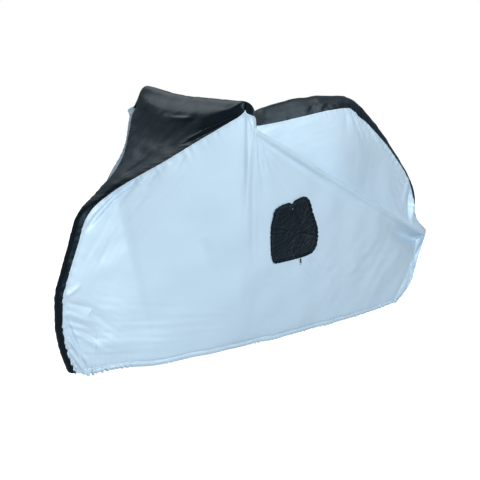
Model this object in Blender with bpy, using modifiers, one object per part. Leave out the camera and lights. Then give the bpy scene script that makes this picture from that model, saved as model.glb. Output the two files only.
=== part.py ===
"""Bicycle cover: two silver side panels and a black spine of two panels, hung to its true draped shape.

Drawing frame, in metres: x runs back from the nose, y from the middle plane to the far side (the near side
is at -y), z up from the floor. Every line below is drawn in it. The finished cover is then moved so that its
origin is the point under the hump's crown on which it hangs.
"""
import bpy
import numpy as np
from mathutils import Matrix, Vector
from mathutils.bvhtree import BVHTree

NAME = "bicycle_cover"
CLOTH = 0.002          # thickness of every sheet
GAP = 0.0006           # between sewn pieces
HANG_POINT = (1.24, 0.0, 1.090)
MIRROR = np.array([1, -1, 1])

# Station is the distance in metres along the near seam, from the nose's hem over the top to the tail's hem.
# Seam between the black spine and the near side panel.
SEAM_LINE = (
    # station, x, y, z
    (0.000, 0.049, -0.022, 0.163),
    (0.090, 0.025, -0.022, 0.250),
    (0.190, 0.012, -0.022, 0.346),
    (0.280, 0.019, -0.022, 0.440),
    (0.370, 0.044, -0.022, 0.524),
    (0.500, 0.091, -0.022, 0.644),
    (0.565, 0.114, -0.023, 0.706),
    (0.615, 0.141, -0.026, 0.747),
    (0.710, 0.211, -0.047, 0.803),
    (0.760, 0.248, -0.077, 0.833),
    (0.915, 0.348, -0.158, 0.906),
    (1.064, 0.443, -0.239, 0.981),
    (1.184, 0.518, -0.313, 1.043),
    (1.215, 0.541, -0.331, 1.060),
    (1.240, 0.551, -0.339, 1.070),
    (1.268, 0.555, -0.346, 1.080),
    (1.275, 0.557, -0.346, 1.082),
    (1.282, 0.562, -0.348, 1.070),
    (1.296, 0.579, -0.348, 1.065),
    (1.310, 0.599, -0.340, 1.060),
    (1.450, 0.690, -0.225, 1.020),
    (1.620, 0.793, -0.102, 0.998),
    (1.720, 0.890, -0.105, 1.006),
    (1.900, 1.073, -0.105, 1.028),
    (2.020, 1.189, -0.100, 1.041),
    (2.110, 1.280, -0.088, 1.044),
    (2.150, 1.320, -0.081, 1.042),
    (2.190, 1.352, -0.075, 1.028),
    (2.235, 1.388, -0.070, 1.005),
    (2.300, 1.448, -0.067, 0.972),
    (2.380, 1.511, -0.065, 0.924),
    (2.470, 1.584, -0.063, 0.869),
    (2.570, 1.661, -0.061, 0.797),
    (2.670, 1.728, -0.060, 0.728),
    (2.780, 1.788, -0.056, 0.640),
    (2.860, 1.812, -0.055, 0.570),
    (2.920, 1.826, -0.055, 0.512),
    (2.975, 1.876, -0.053, 0.455),
    (3.040, 1.945, -0.036, 0.405),
    (3.140, 1.910, -0.034, 0.300),
    (3.240, 1.858, -0.042, 0.210),
    (3.400, 1.760, -0.042, 0.092),
)

# Middle of the spine, and the shoulder between it and the seam, as shares of the way in and of the way up.
CROWN_LINE = (
    # station, x, z, shoulder in, shoulder up
    (0.000, 0.030, 0.164, 0.45, 0.80),
    (0.090, 0.004, 0.252, 0.45, 0.80),
    (0.190, -0.007, 0.347, 0.45, 0.80),
    (0.280, -0.003, 0.442, 0.45, 0.80),
    (0.370, 0.024, 0.532, 0.45, 0.80),
    (0.500, 0.066, 0.652, 0.45, 0.80),
    (0.565, 0.088, 0.712, 0.45, 0.80),
    (0.615, 0.113, 0.745, 0.45, 0.75),
    (0.710, 0.190, 0.798, 0.45, 0.75),
    (0.760, 0.230, 0.832, 0.45, 0.70),
    (0.915, 0.338, 0.902, 0.45, 0.60),
    (1.064, 0.430, 0.980, 0.45, 0.60),
    (1.170, 0.462, 1.040, 0.40, 0.70),
    (1.215, 0.480, 1.062, 0.30, 0.80),
    (1.240, 0.515, 1.088, 0.10, 0.80),
    (1.275, 0.560, 1.113, 0.02, 0.90),
    (1.310, 0.610, 1.090, 0.04, 0.80),
    (1.450, 0.720, 1.035, 0.30, 0.50),
    (1.620, 0.835, 1.030, 0.45, 0.52),
    (1.720, 0.920, 1.057, 0.45, 0.54),
    (1.900, 1.090, 1.086, 0.45, 0.56),
    (2.020, 1.220, 1.093, 0.45, 0.58),
    (2.110, 1.330, 1.089, 0.45, 0.60),
    (2.150, 1.372, 1.084, 0.45, 0.65),
    (2.190, 1.405, 1.075, 0.45, 0.70),
    (2.235, 1.440, 1.056, 0.45, 0.75),
    (2.300, 1.496, 1.012, 0.45, 0.78),
    (2.380, 1.562, 0.956, 0.45, 0.78),
    (2.470, 1.628, 0.890, 0.45, 0.78),
    (2.570, 1.710, 0.803, 0.45, 0.78),
    (2.670, 1.786, 0.717, 0.45, 0.78),
    (2.780, 1.848, 0.628, 0.45, 0.78),
    (2.860, 1.872, 0.563, 0.45, 0.70),
    (2.920, 1.874, 0.512, 0.45, 0.60),
    (2.975, 1.917, 0.458, 0.45, 0.50),
    (3.040, 1.966, 0.405, 0.45, 0.55),
    (3.140, 1.930, 0.310, 0.45, 0.78),
    (3.240, 1.878, 0.220, 0.45, 0.78),
    (3.400, 1.775, 0.092, 0.45, 0.78),
)

# Lower edge of the near side panel.
HEM_LINE = (
    # station, x, y, z
    (0.000, 0.085, -0.036, 0.152),
    (0.280, 0.150, -0.055, 0.153),
    (0.500, 0.240, -0.071, 0.148),
    (0.710, 0.340, -0.084, 0.133),
    (1.000, 0.540, -0.099, 0.125),
    (1.275, 0.720, -0.100, 0.113),
    (1.620, 0.880, -0.098, 0.104),
    (1.900, 1.090, -0.094, 0.096),
    (2.180, 1.330, -0.089, 0.089),
    (2.470, 1.530, -0.081, 0.086),
    (2.780, 1.630, -0.075, 0.090),
    (3.400, 1.700, -0.069, 0.090),
)

HEM_SHARE = 0.035      # the drawn-in hem's share of the lower field
HEM_DRAWN_IN = 0.006

# The line that parts the side's upper field from its lower one. In front it lies a given share of the way
# down from the seam. Behind the near corner it is the tight fold that runs from there to the tail's tip.
FOLD_START = (0.600, -0.340, 1.016)
FOLD_END = (1.902, -0.068, 0.398)
PARTING_LINE = (
    # station, share along the tight fold, share down from the seam, weight of the fold, moved out
    (0.000, 0.00, 0.45, 0.0, 0.000),
    (0.710, 0.00, 0.30, 0.0, 0.000),
    (1.200, 0.00, 0.10, 0.0, 0.000),
    (1.275, -0.01, 0.06, 1.0, 0.000),
    (1.310, 0.00, 0.06, 1.0, 0.000),
    (1.450, 0.06, 0.10, 1.0, 0.000),
    (1.620, 0.14, 0.20, 1.0, 0.000),
    (1.900, 0.33, 0.20, 1.0, 0.000),
    (2.165, 0.53, 0.20, 1.0, 0.000),
    (2.470, 0.73, 0.20, 1.0, 0.000),
    (2.780, 0.88, 0.20, 1.0, 0.000),
    (2.975, 0.975, 0.20, 1.0, 0.000),
    (3.040, 1.00, 0.20, 1.0, 0.000),
    (3.120, 1.00, 0.14, 0.0, -0.008),
    (3.200, 1.00, 0.14, 0.0, 0.008),
    (3.300, 1.00, 0.14, 0.0, 0.018),
    (3.400, 1.00, 0.30, 0.0, 0.008),
)

# How far the fields hang out of straight. The upper one turns in over a ledge above the parting line and
# then hangs nearly plumb, swollen out below the hump. The lower one hangs in a little, and is tucked in
# below the line at the tail.
SLACK = (
    # station, upper field's swing in to plumb, its swell, lower field in at its middle, below the parting line
    (0.000, 0.00, 0.000, 0.000, 0.000),
    (0.500, 0.00, 0.000, 0.002, 0.000),
    (0.915, 0.00, 0.000, 0.008, 0.000),
    (1.275, 0.00, 0.000, 0.014, 0.000),
    (1.310, 0.25, 0.000, 0.014, 0.000),
    (1.450, 0.60, 0.000, 0.012, 0.000),
    (1.620, 0.74, 0.006, 0.010, 0.000),
    (1.720, 0.74, 0.014, 0.009, 0.000),
    (1.900, 0.72, 0.038, 0.006, 0.000),
    (2.020, 0.64, 0.052, 0.005, 0.000),
    (2.165, 0.62, 0.050, 0.004, 0.000),
    (2.300, 0.76, 0.030, 0.004, 0.002),
    (2.470, 0.84, 0.014, 0.004, 0.008),
    (2.780, 0.75, 0.000, 0.002, 0.024),
    (2.975, 0.60, 0.000, 0.000, 0.036),
    (3.040, 0.00, 0.000, 0.000, 0.032),
    (3.140, 0.00, 0.000, 0.000, 0.012),
    (3.400, 0.00, 0.000, 0.000, 0.000),
)
LEDGE = 0.018          # height over which the upper field turns in

# The far side is the near one mirrored, but for its corner, which the cloth drapes over a little higher and
# farther out, for a belly in its upper field beside the hood, and for the rest of that field, which hangs
# straight.
FAR_SHIFT = (
    # station, seam x, y, z, shoulder x, y, z, parting x, y, z, belly x, y, z
    (0.000, 0, 0, 0, 0, 0, 0, 0, 0, 0, 0, 0, 0),
    (0.710, 0, 0, 0, 0, 0, 0, 0, 0, 0, 0, 0, 0),
    (0.760, 0.020, -0.002, 0, 0.012, 0, 0, 0, 0, 0, 0, 0, 0),
    (0.820, 0.028, -0.002, 0, 0.016, 0, 0, 0, 0, 0, -0.018, 0.012, 0),
    (0.870, 0.027, -0.003, 0, 0.012, 0, 0, 0, 0, 0, -0.036, 0.026, 0),
    (0.915, 0.022, -0.006, 0, 0.008, 0, 0, 0, 0, 0, -0.038, 0.028, 0),
    (1.064, 0, 0, 0, 0, 0, 0, -0.004, 0, 0, -0.028, 0.018, 0),
    (1.184, -0.018, 0, -0.010, 0.000, -0.010, 0.010, -0.020, 0.006, 0, -0.022, 0.012, 0),
    (1.275, -0.027, 0.000, -0.019, -0.002, -0.051, 0.032, -0.050, 0.006, 0, -0.024, 0.018, 0),
    (1.310, -0.040, 0.006, -0.008, -0.002, -0.045, 0.032, -0.044, 0.006, 0, -0.020, 0.012, 0),
    (1.620, 0, 0, 0, 0, 0, 0, 0, 0, 0, 0, 0, 0),
    (3.400, 0, 0, 0, 0, 0, 0, 0, 0, 0, 0, 0, 0),
)

# Soft folds of the sides, each a ridge or, where its height is negative, a trough between two points of the
# side view, fading towards both ends.
FOLDS = (
    # start x, z, end x, z, half width, height
    (0.590, 1.040, 0.640, 0.640, 0.024, 0.007),
    (0.615, 0.980, 0.720, 0.700, 0.020, -0.005),
    (0.630, 0.960, 0.830, 0.740, 0.022, -0.005),
    (0.640, 0.975, 1.500, 0.545, 0.034, -0.006),
    (0.150, 0.560, 0.420, 0.760, 0.040, -0.006),
    (0.080, 0.420, 0.420, 0.400, 0.040, -0.006),
    (0.120, 0.260, 0.400, 0.220, 0.036, 0.006),
    (1.340, 1.010, 1.360, 0.860, 0.026, -0.006),
    (1.460, 0.940, 1.400, 0.820, 0.028, 0.005),
    (1.830, 0.640, 1.800, 0.500, 0.020, 0.006),
    (1.560, 0.500, 1.860, 0.330, 0.034, -0.006),
)

FOLD_FADE = 0.5

# Pocket on the near side: its outline in the side view, from the lower front corner upwards and round.
POCKET_OUTLINE = (
    # x, z
    (0.818, 0.478),
    (0.801, 0.520),
    (0.779, 0.640),
    (0.780, 0.690),
    (0.806, 0.712),
    (0.850, 0.718),
    (0.864, 0.711),
    (0.876, 0.722),
    (0.925, 0.733),
    (0.952, 0.722),
    (1.000, 0.650),
    (1.045, 0.575),
    (1.057, 0.510),
    (1.040, 0.479),
    (0.990, 0.467),
    (0.900, 0.464),
    (0.838, 0.466),
)
POCKET_MIDDLE = (0.915, 0.590)
POCKET_RINGS = (0.30, 0.55, 0.75, 0.90, 1.00)
OUTLINE_POINTS = 64
POCKET_EDGE, POCKET_LEAST, POCKET_SWELL = 0.003, 0.002, 0.006
PLEAT_TOP, PLEAT_END = (0.866, 0.716), (0.936, 0.612)
PLEAT_DEPTH, PLEAT_WIDTH = 0.004, 0.009
RESTING_GAP = 0.0006   # between the side panel and what is sewn on it
PIPING_RADIUS = 0.003

# Zip puller below the pocket: a flat tab with a ring at its lower end.
TAB_TOP, TAB_END = (0.977, 0.461), (0.982, 0.440)
TAB_WIDTH, TAB_THICKNESS, TAB_BEVEL = 0.007, 0.0026, 0.0008
RING_RADIUS, RING_WIRE = 0.0045, 0.0010
RING_SHARE = 0.6       # how far below the tab's end the ring's middle lies, as a share of its radius

# Rows of the mesh: so many cells between two stations.
ROW_RUNS = (
    # from, to, cells
    (0.000, 0.565, 10),
    (0.565, 0.710, 3),
    (0.710, 1.184, 8),
    (1.184, 1.240, 2),
    (1.240, 1.310, 2),
    (1.310, 1.620, 6),
    (1.620, 2.110, 7),
    (2.110, 2.300, 4),
    (2.300, 2.780, 7),
    (2.780, 3.040, 4),
    (3.040, 3.400, 5),
)
RIDGE_STATION = 1.275  # the seam between hood and spine
LOWER_CELLS = 10
UPPER_SHARES = (0, 0.08, 0.18, 0.32, 0.50, 0.75, 1)
SPINE_CELLS = 8


def smooth(table, at):
    """Reads a table's columns at the stations `at`: a cubic between rows. Its slope at a row is the harmonic
    mean of the slopes on both sides, and level where these differ in sign, so that it never overshoots."""
    table = np.array(table, float)
    station, values = table[:, 0], table[:, 1:]
    width = np.diff(station)[:, None]
    rise = np.diff(values, axis=0) / width
    product = rise[:-1] * rise[1:]
    total = np.where(product > 0, rise[:-1] + rise[1:], 1.0)
    slope = np.vstack([rise[:1], np.where(product > 0, 2 * product / total, 0.0), rise[-1:]])
    cell = np.clip(np.searchsorted(station, at, side="right") - 1, 0, len(station) - 2)
    t = ((at - station[cell]) / width[cell, 0])[:, None]
    start, end = values[cell], values[cell + 1]
    pull_start, pull_end = slope[cell] * width[cell], slope[cell + 1] * width[cell]
    return (
        start * (1 + 2 * t) * (1 - t) ** 2
        + pull_start * t * (1 - t) ** 2
        + end * t * t * (3 - 2 * t)
        + pull_end * t * t * (t - 1)
    )


def bell(share, start_power, end_power):
    """A hump over the shares 0 to 1: zero at both ends, one at its peak."""
    peak = start_power / (start_power + end_power)
    shape = share**start_power * (1 - share) ** end_power
    return shape / (peak**start_power * (1 - peak) ** end_power)


def side(at, far=False):
    """A side panel's outer face, rows by columns from the hem up to the seam, laid out on the near side. Each
    row is straight from hem to parting line and from there to seam, then drawn in by the slack."""
    seam, hem = smooth(SEAM_LINE, at), smooth(HEM_LINE, at)
    along, down, weight, out = smooth(PARTING_LINE, at).T[:, :, None]
    belly = far_shift(at, "belly") if far else 0 * seam
    fold = np.array(FOLD_START) + np.subtract(FOLD_END, FOLD_START) * along
    parting = (seam + (hem - seam) * down) * (1 - weight) + fold * weight
    parting[:, 1:2] -= out
    if far:
        seam += far_shift(at, "seam")
        parting += far_shift(at, "parting")
    swing, swell, lower_in, tuck_in = smooth(SLACK, at).T[:, :, None]
    if far:
        swing, swell = 0, 0
    low = np.append([0, HEM_SHARE], np.linspace(3 * HEM_SHARE, 1, LOWER_CELLS - 1)[:-1])
    high = np.array(UPPER_SHARES)
    lower = hem[:, None] + (parting - hem)[:, None] * low[:, None]
    upper = parting[:, None] + (seam - parting)[:, None] * high[:, None]
    lower[:, :, 1] += lower_in * bell(low, 1, 1) + tuck_in * bell(low, 9, 1)
    lower[:, 0, 1] += HEM_DRAWN_IN
    rise = np.abs(upper - parting[:, None])[:, :, 2]
    plumb = (seam - parting)[:, 1:2] * (1 - high)
    upper[:, :, 1] += swing * plumb * (1 - np.exp(-rise / LEDGE)) - swell * bell(high, 1, 1)
    upper += belly[:, None] * bell(high, 2, 2)[:, None]
    face = np.concatenate([lower, upper], axis=1)
    face[:, :-1, 1] -= folds(face[:, :-1, 0], face[:, :-1, 2])
    return face


def folds(x, z):
    """Height of all folds at points of the side view: each is a bell curve across its line, times a hump
    along it."""
    height = 0 * x
    for start_x, start_z, end_x, end_z, half_width, peak in FOLDS:
        run_x, run_z = end_x - start_x, end_z - start_z
        length = np.hypot(run_x, run_z)
        along = ((x - start_x) * run_x + (z - start_z) * run_z) / length**2
        across = ((x - start_x) * run_z - (z - start_z) * run_x) / length
        fade = bell(np.clip(along, 0, 1), FOLD_FADE, FOLD_FADE)
        height += peak * fade * np.exp(-((across / half_width) ** 2))
    return height


def far_shift(at, line):
    """How far one of the far side's lines lies from the near one's mirror image, turned to the near side."""
    first = ("seam", "shoulder", "parting", "belly").index(line) * 3
    return smooth(FAR_SHIFT, at)[:, first : first + 3] * MIRROR


def spine(at):
    """The spine's outer face, rows by columns from the near seam over the crown to the far seam."""
    seam = smooth(SEAM_LINE, at)
    crown_x, crown_z, shoulder_in, shoulder_up = smooth(CROWN_LINE, at).T
    crown = np.stack([crown_x, 0 * crown_x, crown_z], axis=1)
    share = np.stack([shoulder_up, shoulder_in, shoulder_up], axis=1)
    shoulder = seam + (crown - seam) * share
    far_seam = (seam + far_shift(at, "seam")) * MIRROR
    far_shoulder = (shoulder + far_shift(at, "shoulder")) * MIRROR
    quarter = np.linspace(0, 1, 5)
    column = np.linspace(0, 1, SPINE_CELLS + 1)
    rows = []
    for five in np.stack([seam, shoulder, crown, far_shoulder, far_seam], axis=1):
        rows.append(smooth(np.column_stack([quarter, five]), column))
    return np.array(rows)


def row_stations():
    runs = [np.linspace(start, end, cells, endpoint=False) for start, end, cells in ROW_RUNS]
    return np.concatenate(runs + [[ROW_RUNS[-1][1]]])


def cover_faces():
    """Outer and inner face of the whole cover, as grids of points with columns from the near hem to the far
    one. The inner face lies one cloth's thickness inside, along normals that neighbouring panels share."""
    at = row_stations()
    near = side(at)
    far = side(at, far=True)[:, ::-1] * MIRROR
    outer = np.concatenate([near, spine(at)[:, 1:-1], far], axis=1)
    normal = np.cross(np.gradient(outer, axis=0), np.gradient(outer, axis=1))
    normal /= np.linalg.norm(normal, axis=2, keepdims=True)
    return at, outer - np.array(HANG_POINT), outer - CLOTH * normal - np.array(HANG_POINT)


def pull_back(grid, axis, end):
    """Moves one edge of the grid half the gap inwards, towards its next line of points."""
    lines = np.moveaxis(grid, axis, 0)
    edge, following = (0, 1) if end == 0 else (-1, -2)
    step = lines[following] - lines[edge]
    lines[edge] += GAP / 2 * step / np.linalg.norm(step, axis=1, keepdims=True)


def sheet(name, outer, inner, sewn_edges, material, collection):
    """A closed sheet between two grids of points, pulled back along the edges where it is sewn."""
    outer, inner = outer.copy(), inner.copy()
    for axis, end in sewn_edges:
        pull_back(outer, axis, end)
        pull_back(inner, axis, end)
    rows, columns = outer.shape[:2]
    number = np.arange(rows * columns).reshape(rows, columns)
    corner = [number[:-1, :-1], number[1:, :-1], number[1:, 1:], number[:-1, 1:]]
    quads = np.stack(corner, axis=2).reshape(-1, 4)
    skin = np.concatenate([quads[:, [0, 1, 2]], quads[:, [0, 2, 3]]])
    rim = np.concatenate([number[0, :-1], number[:-1, -1], number[-1, :0:-1], number[:0:-1, 0]])
    onward = np.roll(rim, -1)
    edge = np.stack([rim, onward, onward + number.size, rim + number.size], axis=1)
    points = np.concatenate([outer.reshape(-1, 3), inner.reshape(-1, 3)])
    faces = skin.tolist() + (skin[:, ::-1] + number.size).tolist() + edge.tolist()
    return add_mesh(name, points, faces, material, collection)


def add_mesh(name, points, faces, material, collection):
    mesh = bpy.data.meshes.new(name)
    mesh.from_pydata(np.asarray(points).tolist(), [], faces)
    mesh.materials.append(material)
    mesh.shade_smooth()
    piece = bpy.data.objects.new(name, mesh)
    collection.objects.link(piece)
    return piece


def on_panel(panel_tree, x, z, lift):
    """The point of the near side at (x, z) of the drawing, lifted off the cloth along its normal."""
    start = Vector((x - HANG_POINT[0], -1.0, z - HANG_POINT[2]))
    place, normal, _, _ = panel_tree.ray_cast(start, Vector((0, 1, 0)))
    return place + normal * lift


def pocket_outline(inset):
    """The outline's points in the side view, evenly spaced, moved inwards by the inset."""
    rows = np.array(POCKET_OUTLINE + POCKET_OUTLINE[:1])
    reach = np.append(0, np.cumsum(np.linalg.norm(np.diff(rows, axis=0), axis=1)))
    at = np.linspace(0, reach[-1], OUTLINE_POINTS, endpoint=False)
    ring = smooth(np.column_stack([reach, rows]), at)
    tangent = np.roll(ring, -1, axis=0) - np.roll(ring, 1, axis=0)
    tangent /= np.linalg.norm(tangent, axis=1, keepdims=True)
    return ring + inset * np.column_stack([tangent[:, 1], -tangent[:, 0]])


def pocket_height(x, z, share):
    """How far the pocket's face stands off the panel: swollen in the middle, with a pleat that runs down from
    the notch."""
    run = np.subtract(PLEAT_END, PLEAT_TOP)
    along = np.dot((x - PLEAT_TOP[0], z - PLEAT_TOP[1]), run) / np.dot(run, run)
    across = np.linalg.norm(np.subtract((x, z), PLEAT_TOP) - run * np.clip(along, 0, 1))
    pleat = PLEAT_DEPTH * np.exp(-((across / PLEAT_WIDTH) ** 2))
    swell = POCKET_EDGE + POCKET_SWELL * (1 - share**2)
    return max(swell - pleat, POCKET_LEAST)


def make_pocket(panel_tree, material, collection):
    """A patch of rings around a middle point: its back rests on the panel, its face stands off it."""
    edge = pocket_outline(2 * PIPING_RADIUS + GAP)
    middle = np.array(POCKET_MIDDLE)
    flat = [(middle, 0.0)]
    flat += [(middle + (point - middle) * share, share) for share in POCKET_RINGS for point in edge]
    back = [on_panel(panel_tree, x, z, RESTING_GAP) for (x, z), _ in flat]
    face = [
        on_panel(panel_tree, x, z, RESTING_GAP + pocket_height(x, z, share)) for (x, z), share in flat
    ]
    count, total = len(edge), len(flat)
    skin, wall = [], []
    for first in range(count):
        second = (first + 1) % count
        skin.append((0, 1 + second, 1 + first))
        for ring in range(1, 1 + count * (len(POCKET_RINGS) - 1), count):
            inner = (ring + first, ring + second)
            outer = (inner[0] + count, inner[1] + count)
            skin += [(inner[0], outer[1], outer[0]), (inner[0], inner[1], outer[1])]
        wall.append((outer[0], outer[1], outer[1] + total, outer[0] + total))
    rear = [tuple(corner + total for corner in reversed(triangle)) for triangle in skin]
    return add_mesh("pocket", face + back, skin + rear + wall, material, collection)


def add_tube(name, centre, radius, material, collection):
    """A closed round tube along a ring of points."""
    curve = bpy.data.curves.new(name, "CURVE")
    curve.dimensions = "3D"
    curve.bevel_depth = radius
    curve.bevel_resolution = 2
    spline = curve.splines.new("POLY")
    spline.points.add(len(centre) - 1)
    for point, place in zip(spline.points, centre):
        point.co = (*place, 1)
    spline.use_cyclic_u = True
    curve.materials.append(material)
    tube = bpy.data.objects.new(name, curve)
    collection.objects.link(tube)
    return tube


def make_piping(panel_tree, material, collection):
    """A round piping along the pocket's outline, on the side panel."""
    lift = RESTING_GAP + PIPING_RADIUS
    centre = [on_panel(panel_tree, x, z, lift) for x, z in pocket_outline(PIPING_RADIUS)]
    return add_tube("pocket_piping", centre, PIPING_RADIUS, material, collection)


def make_puller(panel_tree, material, collection, cutters):
    """The puller hangs flat on the panel: a box with rounded edges, joined with the ring at its lower end."""
    lift = 2 * RESTING_GAP + TAB_THICKNESS / 2
    top, end = (on_panel(panel_tree, *point, lift) for point in (TAB_TOP, TAB_END))
    length = (top - end).length
    down = (end - top).normalized()
    outward = (on_panel(panel_tree, *TAB_END, 2 * lift) - end).normalized()
    across = down.cross(outward).normalized()
    frame = Matrix((across, down, across.cross(down))).transposed()

    bpy.ops.mesh.primitive_cube_add(size=1)
    tab = bpy.context.object
    tab.name = tab.data.name = "zip_puller"
    tab.data.transform(Matrix.Diagonal((TAB_WIDTH, length, TAB_THICKNESS, 1)))
    tab.data.transform(Matrix.Translation((top + end) / 2) @ frame.to_4x4())
    move_to(tab, collection)
    bevel = tab.modifiers.new("rounded edges", "BEVEL")
    bevel.width = TAB_BEVEL
    bevel.segments = 2

    bpy.ops.mesh.primitive_torus_add(
        major_radius=RING_RADIUS, minor_radius=RING_WIRE, major_segments=24, minor_segments=8
    )
    ring = bpy.context.object
    ring.name = "puller_ring"
    ring.data.transform(Matrix.Translation(end + down * RING_RADIUS * RING_SHARE) @ frame.to_4x4())
    move_to(ring, cutters)
    join = tab.modifiers.new("ring", "BOOLEAN")
    join.operation = "UNION"
    join.solver = "EXACT"
    join.object = ring
    tab.data.materials.append(material)


def move_to(thing, collection):
    for holder in list(thing.users_collection):
        holder.objects.unlink(thing)
    collection.objects.link(thing)


def make_material(name, colour, roughness):
    material = bpy.data.materials.new(name)
    material.use_nodes = True
    shader = material.node_tree.nodes["Principled BSDF"]
    shader.inputs["Base Color"].default_value = (*colour, 1)
    shader.inputs["Roughness"].default_value = roughness
    shader.inputs["Metallic"].default_value = 0.0
    return material


def main():
    for thing in list(bpy.data.objects):
        bpy.data.objects.remove(thing, do_unlink=True)
    parts = bpy.data.collections.new(NAME)
    bpy.context.scene.collection.children.link(parts)
    cutters = bpy.data.collections.new("cutters")
    bpy.context.scene.collection.children.link(cutters)
    cutters.hide_viewport = cutters.hide_render = True
    silver = make_material("silver_cloth", (0.56, 0.68, 0.80), 0.45)
    black = make_material("black_cloth", (0.02, 0.03, 0.04), 0.6)

    at, outer, inner = cover_faces()
    near_seam = LOWER_CELLS + len(UPPER_SHARES) - 1
    far_seam = near_seam + SPINE_CELLS
    ridge = int(np.argmin(abs(at - RIDGE_STATION)))
    near, far = np.s_[:, : near_seam + 1], np.s_[:, far_seam:]
    front, back = np.s_[: ridge + 1, near_seam : far_seam + 1], np.s_[ridge:, near_seam : far_seam + 1]
    near_panel = sheet("near_side_panel", outer[near], inner[near], [(1, -1)], silver, parts)
    sheet("far_side_panel", outer[far], inner[far], [(1, 0)], silver, parts)
    sheet("hood_panel", outer[front], inner[front], [(1, 0), (1, -1), (0, -1)], black, parts)
    sheet("spine_panel", outer[back], inner[back], [(1, 0), (1, -1), (0, 0)], black, parts)

    points = [vertex.co for vertex in near_panel.data.vertices]
    panel_tree = BVHTree.FromPolygons(points, [face.vertices for face in near_panel.data.polygons])
    make_pocket(panel_tree, black, parts)
    make_piping(panel_tree, black, parts)
    make_puller(panel_tree, black, parts, cutters)


main()
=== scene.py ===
import bpy
import numpy as np
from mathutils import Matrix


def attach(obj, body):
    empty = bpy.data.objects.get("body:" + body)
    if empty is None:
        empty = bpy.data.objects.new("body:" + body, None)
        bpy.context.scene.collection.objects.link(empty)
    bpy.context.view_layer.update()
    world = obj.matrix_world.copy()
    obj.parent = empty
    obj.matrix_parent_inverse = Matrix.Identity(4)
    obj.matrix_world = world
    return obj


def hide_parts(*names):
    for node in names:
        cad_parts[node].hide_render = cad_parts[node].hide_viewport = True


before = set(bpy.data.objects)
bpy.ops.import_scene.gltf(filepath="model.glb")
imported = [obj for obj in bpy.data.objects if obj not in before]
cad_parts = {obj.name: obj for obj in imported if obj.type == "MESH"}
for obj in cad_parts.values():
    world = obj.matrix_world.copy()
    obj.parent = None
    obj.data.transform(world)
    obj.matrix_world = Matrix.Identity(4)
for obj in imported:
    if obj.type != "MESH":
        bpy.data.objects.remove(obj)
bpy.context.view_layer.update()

# ----------------------------------------
# Near side panel: one piece of silver coated nylon, cut to the outline of the side and sewn to the
# black panels along its whole upper edge. Its lower edge is turned up and sewn down as a casing,
# and a cord in it draws it in. It hangs from the front corner, where its long folds begin.
# ----------------------------------------
# All lines are drawn in a frame whose origin is on the floor below the nose. The part's own origin is
# this point of that frame.
HANG_POINT = np.array([1.24, 0.0, 1.090])

# Station is the distance in metres along the near seam, from the nose's hem over the top to the tail's.
SEAM_LINE = (
    # station, x, y, z
    (0.000, 0.049, -0.022, 0.163),
    (0.090, 0.025, -0.022, 0.250),
    (0.190, 0.012, -0.022, 0.346),
    (0.280, 0.019, -0.022, 0.440),
    (0.370, 0.044, -0.022, 0.524),
    (0.500, 0.091, -0.022, 0.644),
    (0.565, 0.114, -0.023, 0.706),
    (0.615, 0.141, -0.026, 0.747),
    (0.710, 0.211, -0.047, 0.803),
    (0.760, 0.248, -0.077, 0.833),
    (0.915, 0.348, -0.158, 0.906),
    (1.064, 0.443, -0.239, 0.981),
    (1.184, 0.518, -0.313, 1.043),
    (1.215, 0.541, -0.331, 1.060),
    (1.240, 0.551, -0.339, 1.070),
    (1.268, 0.555, -0.346, 1.080),
    (1.275, 0.557, -0.346, 1.082),
    (1.282, 0.562, -0.348, 1.070),
    (1.296, 0.579, -0.348, 1.065),
    (1.310, 0.599, -0.340, 1.060),
    (1.450, 0.690, -0.225, 1.020),
    (1.620, 0.793, -0.102, 0.998),
    (1.720, 0.890, -0.105, 1.006),
    (1.900, 1.073, -0.105, 1.028),
    (2.020, 1.189, -0.100, 1.041),
    (2.110, 1.280, -0.088, 1.044),
    (2.150, 1.320, -0.081, 1.042),
    (2.190, 1.352, -0.075, 1.028),
    (2.235, 1.388, -0.070, 1.005),
    (2.300, 1.448, -0.067, 0.972),
    (2.380, 1.511, -0.065, 0.924),
    (2.470, 1.584, -0.063, 0.869),
    (2.570, 1.661, -0.061, 0.797),
    (2.670, 1.728, -0.060, 0.728),
    (2.780, 1.788, -0.056, 0.640),
    (2.860, 1.812, -0.055, 0.570),
    (2.920, 1.826, -0.055, 0.512),
    (2.975, 1.876, -0.053, 0.455),
    (3.040, 1.945, -0.036, 0.405),
    (3.140, 1.910, -0.032, 0.300),
    (3.240, 1.858, -0.042, 0.210),
    (3.400, 1.760, -0.042, 0.092),
)

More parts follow.
